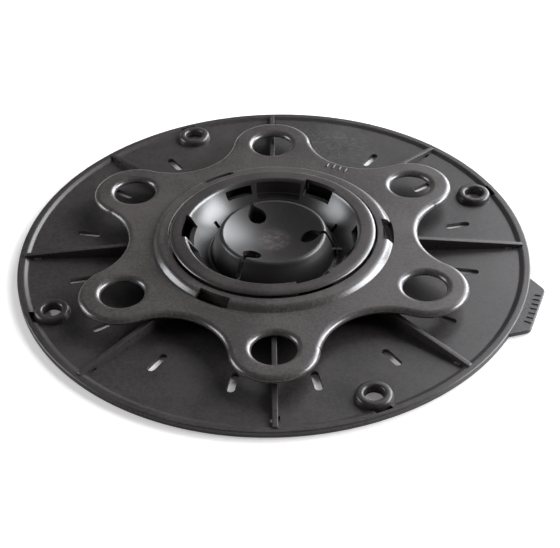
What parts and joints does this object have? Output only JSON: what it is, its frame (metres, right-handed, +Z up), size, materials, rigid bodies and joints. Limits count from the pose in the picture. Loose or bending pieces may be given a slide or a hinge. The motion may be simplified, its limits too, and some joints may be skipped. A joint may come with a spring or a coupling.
{
  "type": "adjustable decking pedestal",
  "caption": "Low round decking pedestal: a ribbed base plate, a lobed adjusting collar and a bearing ring that rises as the collar is turned.",
  "frame": {"origin": "on the pedestal's axis, in the plane of the base's underside", "axes": "+Z up along the pedestal's axis; +X towards the right of the picture, with the rim's tab 21.5 degrees clockwise from it"},
  "size_m": [0.2022, 0.2, 0.0133],
  "materials": {
    "base_plastic": "black polypropylene, fine moulded grain, semi-matt",
    "collar_plastic": "black polypropylene, fine moulded grain, satin edges",
    "ring_plastic": "black polypropylene, smooth and satin"
  },
  "bodies": {
    "base": {"base_plate": "base_plastic"},
    "collar": {"lobed_collar": "collar_plastic"},
    "ring": {"bearing_ring": "ring_plastic"}
  },
  "joints": [
    {"name": "collar_turn", "type": "hinge", "parent": "base", "child": "collar", "pos_m": [0, 0, 0], "axis": [0, 0, -1], "range_deg": [0, 100]},
    {"name": "ring_lift", "type": "slide", "parent": "base", "child": "ring", "axis": [0, 0, 1], "range_m": [0, 0.0042]}
  ],
  "couplings": [
    {"joint": "ring_lift", "follows": "collar_turn", "m_per_rad": 0.0023873}
  ]
}
